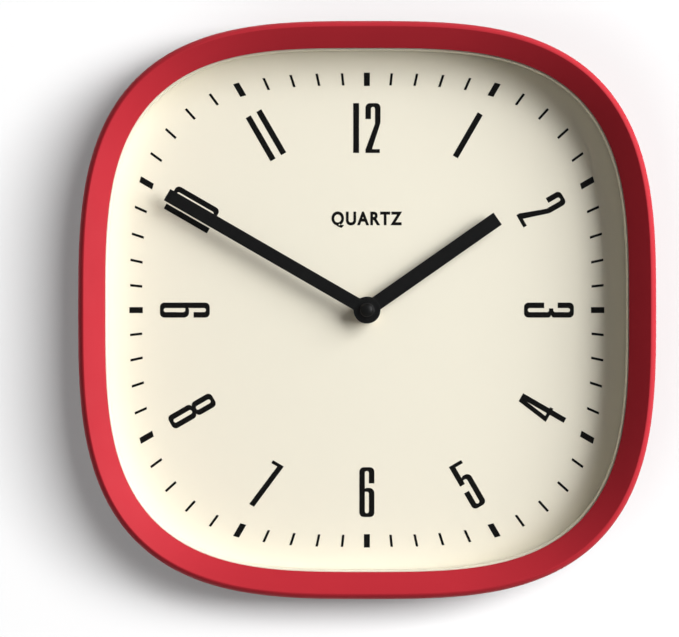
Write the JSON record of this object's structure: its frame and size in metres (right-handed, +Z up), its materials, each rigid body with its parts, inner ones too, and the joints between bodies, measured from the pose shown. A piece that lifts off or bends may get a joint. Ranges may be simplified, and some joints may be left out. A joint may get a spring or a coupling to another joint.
{
  "type": "wall clock",
  "caption": "Rounded-square moulded wall clock with a pane, a dial, two hands and a battery quartz movement with its wheel train.",
  "frame": {"origin": "point of the keyhole slot that bears on the wall hook, on the wall plane", "axes": "+Z up, +X to the right seen from the front, +Y from the front towards the wall"},
  "size_m": [0.255, 0.046, 0.255],
  "materials": {
    "red_plastic": "satin gloss",
    "glass": "clear",
    "cream_plastic": "matte",
    "cream_dial": "matte cream print",
    "hardboard": "matte",
    "steel": "zinc plated",
    "black_plastic": "matte",
    "white_plastic": "matte",
    "rubber": "matte",
    "brass": "satin",
    "copper": "enamelled wire",
    "board_green": "satin",
    "cell_wrap": "printed sleeve",
    "black_paint": "satin black paint"
  },
  "bodies": {
    "root": {"case_shell": "red_plastic", "glass_lens": "glass", "spacer_ring": "cream_plastic", "dial_plate": "cream_dial", "back_board": "hardboard", "board_screw_1": "steel", "board_screw_2": "steel", "board_screw_3": "steel", "board_screw_4": "steel", "board_screw_5": "steel", "board_screw_6": "steel", "board_screw_7": "steel", "board_screw_8": "steel", "hanger_plate": "steel", "hanger_screw_1": "steel", "hanger_screw_2": "steel", "steel_washer": "steel", "stator_plate": "steel", "coil_core": "steel", "crystal_can": "steel", "contact_negative": "steel", "contact_positive": "steel", "movement_housing": "black_plastic", "movement_cover": "black_plastic", "chip_blob": "black_plastic", "middle_plate": "white_plastic", "coil_bobbin": "white_plastic", "rubber_washer": "rubber", "hex_nut": "brass", "coil_winding": "copper", "circuit_board": "board_green"},
    "minute": {"minute_hand": "black_paint", "hand_cap": "black_paint", "cannon_pinion": "brass"},
    "hour": {"hour_hand": "black_paint", "hour_wheel": "white_plastic"},
    "minute_work": {"minute_work_wheel": "white_plastic"},
    "knob": {"set_knob": "white_plastic"},
    "centre": {"centre_wheel": "white_plastic"},
    "third": {"third_wheel": "white_plastic"},
    "seconds": {"seconds_wheel": "white_plastic"},
    "intermediate": {"intermediate_wheel": "white_plastic"},
    "rotor": {"rotor": "steel"},
    "cell": {"battery_cell": "cell_wrap"}
  },
  "joints": [
    {"name": "minute_turn", "type": "hinge", "parent": "root", "child": "minute", "pos_m": [0, -0.01, -0.112], "axis": [0, 1, 0], "continuous": true},
    {"name": "hour_turn", "type": "hinge", "parent": "root", "child": "hour", "pos_m": [0, -0.01, -0.112], "axis": [0, 1, 0], "continuous": true},
    {"name": "minute_work_turn", "type": "hinge", "parent": "root", "child": "minute_work", "pos_m": [-0.00658, -0.01, -0.11439], "axis": [0, 1, 0], "continuous": true},
    {"name": "knob_turn", "type": "hinge", "parent": "root", "child": "knob", "pos_m": [-0.01316, -0.01, -0.11679], "axis": [0, 1, 0], "continuous": true},
    {"name": "rotor_turn", "type": "hinge", "parent": "root", "child": "rotor", "pos_m": [0.0139, -0.01, -0.10236], "axis": [0, 1, 0], "continuous": true},
    {"name": "intermediate_turn", "type": "hinge", "parent": "root", "child": "intermediate", "pos_m": [0.00591, -0.01, -0.10495], "axis": [0, 1, 0], "continuous": true},
    {"name": "seconds_turn", "type": "hinge", "parent": "root", "child": "seconds", "pos_m": [0, -0.01, -0.112], "axis": [0, 1, 0], "continuous": true},
    {"name": "third_turn", "type": "hinge", "parent": "root", "child": "third", "pos_m": [-0.00649, -0.01, -0.10551], "axis": [0, 1, 0], "continuous": true},
    {"name": "centre_turn", "type": "hinge", "parent": "root", "child": "centre", "pos_m": [0, -0.01, -0.112], "axis": [0, 1, 0], "continuous": true},
    {"name": "cell_slide", "type": "slide", "parent": "root", "child": "cell", "axis": [0, 1, 0], "range_m": [0, 0.02]}
  ],
  "couplings": [
    {"joint": "hour_turn", "follows": "minute_turn", "ratio": 0.083333},
    {"joint": "minute_work_turn", "follows": "minute_turn", "ratio": -0.33333},
    {"joint": "knob_turn", "follows": "minute_turn", "ratio": 1},
    {"joint": "intermediate_turn", "follows": "rotor_turn", "ratio": -0.16667},
    {"joint": "seconds_turn", "follows": "rotor_turn", "ratio": 0.033333},
    {"joint": "third_turn", "follows": "rotor_turn", "ratio": -0.0044444},
    {"joint": "centre_turn", "follows": "rotor_turn", "ratio": 0.00055556}
  ]
}
